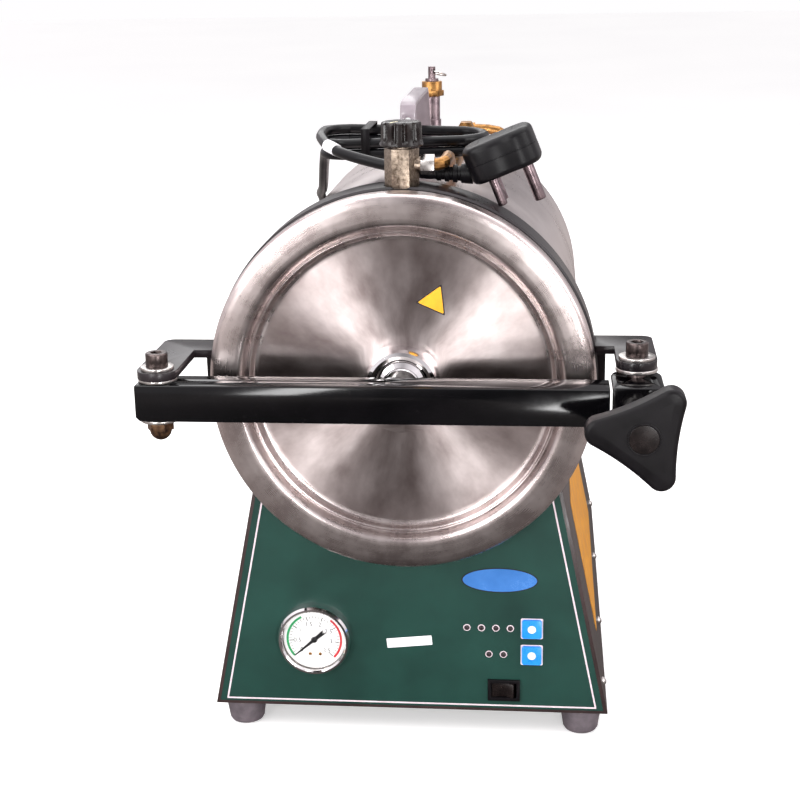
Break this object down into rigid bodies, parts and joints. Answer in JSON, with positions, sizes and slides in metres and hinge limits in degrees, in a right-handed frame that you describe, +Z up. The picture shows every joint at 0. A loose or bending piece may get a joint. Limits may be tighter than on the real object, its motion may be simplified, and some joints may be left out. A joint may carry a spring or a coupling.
{
  "type": "benchtop autoclave",
  "caption": "Horizontal drum steam steriliser on a splayed cabinet: dished lid on a swinging crossbar, swing latch with tri-lobe knob, gauge, controls, top valves and mains cord.",
  "frame": {"origin": "on the bench, under the middle of the machine's box measured without the free cord and plug", "axes": "+Z up, +X to the operator's right when facing the lid, +Y from the lid to the back; the drum's axis runs along +Y"},
  "size_m": [0.3838, 0.6982, 0.5065],
  "materials": {
    "zinc_steel": "satin",
    "brown_paint": "satin",
    "green_overlay": "satin",
    "grey_rubber": "matte",
    "amber_film": "satin",
    "brushed_stainless": "brushed",
    "dark_paint": "semi gloss",
    "mineral_wool": "matte",
    "black_oxide": "black oxide",
    "black_paint": "gloss",
    "silicone": "matte",
    "chromed_steel": "mirror",
    "black_plastic": "satin",
    "nickel_brass": "worn plating",
    "brass_metal": "worn",
    "grey_paint": "satin",
    "white_plastic": "matte",
    "clear_glass": "clear",
    "clear_plastic": "translucent",
    "blue_plastic": "gloss",
    "board_green": "solder mask",
    "cord_rubber": "matte"
  },
  "bodies": {
    "machine": {"base_tray": "zinc_steel", "cabinet_shell": "brown_paint", "front_panel": "brown_paint", "panel_overlay": "green_overlay", "rear_panel": "brown_paint", "rubber_feet": "grey_rubber", "cabinet_screws": "zinc_steel", "side_label": "amber_film", "drum_jacket": "brushed_stainless", "drum_rear_cover": "dark_paint", "insulation_blanket": "mineral_wool", "chamber_vessel": "brushed_stainless", "door_ring": "dark_paint", "hinge_bracket": "dark_paint", "latch_bracket": "dark_paint", "drum_saddles": "zinc_steel", "tray_rack": "brushed_stainless", "instrument_trays": "brushed_stainless", "heater_element": "brushed_stainless", "temperature_probe": "brushed_stainless", "pivot_bolts": "black_oxide", "bolt_washers": "zinc_steel", "dome_nuts": "black_oxide", "latch_bush": "black_oxide", "valve_column": "nickel_brass", "exhaust_pipe": "brass_metal", "brass_fittings": "brass_metal", "relief_body": "nickel_brass", "relief_cap": "brass_metal", "carry_handle": "grey_paint", "gauge_case": "zinc_steel", "gauge_bezel": "chromed_steel", "gauge_dial": "white_plastic", "gauge_lens": "clear_glass", "indicator_lamps": "clear_plastic", "switch_housing": "black_plastic", "control_board": "board_green", "power_transformer": "zinc_steel", "cord_gland": "black_plastic", "cord_rise": "cord_rubber", "cord_hank": "cord_rubber", "cord_lead": "cord_rubber", "cord_tie": "grey_rubber", "plug_body": "black_plastic"},
    "door_arm": {"crossbar": "black_paint", "lid_pin": "zinc_steel"},
    "lid": {"lid_disc": "brushed_stainless", "lid_gasket": "silicone", "lid_hub": "chromed_steel", "lid_stud": "zinc_steel"},
    "latch": {"latch_channel": "black_paint"},
    "clamp_screw": {"clamp_screw": "zinc_steel"},
    "clamp_knob": {"clamp_knob": "black_plastic"},
    "valve_knob": {"valve_knob": "black_plastic"},
    "relief_stem": {"relief_stem": "nickel_brass"},
    "pull_ring": {"pull_ring": "zinc_steel"},
    "gauge_needle": {"gauge_needle": "black_paint"},
    "start_button": {"start_button": "blue_plastic"},
    "select_button": {"select_button": "blue_plastic"},
    "power_rocker": {"power_rocker": "black_plastic"}
  },
  "joints": [
    {"name": "door_swing", "type": "hinge", "parent": "machine", "child": "door_arm", "pos_m": [-0.1774, -0.2385, 0.3], "axis": [0, 0, -1], "range_deg": [0, 105]},
    {"name": "lid_spin", "type": "hinge", "parent": "door_arm", "child": "lid", "pos_m": [-0.0049, -0.2055, 0.3], "axis": [0, 1, 0], "continuous": true},
    {"name": "latch_swing", "type": "hinge", "parent": "machine", "child": "latch", "pos_m": [0.1651, -0.2185, 0.3], "axis": [0, 0, 1], "range_deg": [0, 100]},
    {"name": "clamp_travel", "type": "slide", "parent": "latch", "child": "clamp_screw", "axis": [0, -1, 0], "range_m": [0, 0.006]},
    {"name": "clamp_turn", "type": "hinge", "parent": "clamp_screw", "child": "clamp_knob", "pos_m": [0.1651, -0.3125, 0.3], "axis": [0, -1, 0], "range_deg": [0, 1080]},
    {"name": "valve_turn", "type": "hinge", "parent": "machine", "child": "valve_knob", "pos_m": [-0.0049, -0.1705, 0.48], "axis": [0, 0, 1], "range_deg": [0, 540]},
    {"name": "relief_lift", "type": "slide", "parent": "machine", "child": "relief_stem", "axis": [0, 0, 1], "range_m": [0, 0.004], "stiffness_N_per_m": 800, "springref_m": -0.002},
    {"name": "ring_swing", "type": "hinge", "parent": "relief_stem", "child": "pull_ring", "pos_m": [-0.0049, 0.1345, 0.5025], "axis": [0.7071, -0.7071, 0], "range_deg": [0, 98]},
    {"name": "needle_swing", "type": "hinge", "parent": "machine", "child": "gauge_needle", "pos_m": [-0.0799, -0.1775, 0.0835], "axis": [0, 1, 0], "range_deg": [0, 265]},
    {"name": "start_press", "type": "slide", "parent": "machine", "child": "start_button", "axis": [0, 1, 0], "range_m": [0, 0.0015], "stiffness_N_per_m": 600, "springref_m": -0.001},
    {"name": "select_press", "type": "slide", "parent": "machine", "child": "select_button", "axis": [0, 1, 0], "range_m": [0, 0.0015], "stiffness_N_per_m": 600, "springref_m": -0.001},
    {"name": "power_rock", "type": "hinge", "parent": "machine", "child": "power_rocker", "pos_m": [0.0706, -0.1685, 0.0418], "axis": [0, 0, 1], "range_deg": [0, 16]}
  ],
  "couplings": [
    {"joint": "latch_swing", "follows": "door_swing", "ratio": 0.95},
    {"joint": "clamp_travel", "follows": "clamp_turn", "m_per_rad": 0.00031831}
  ]
}
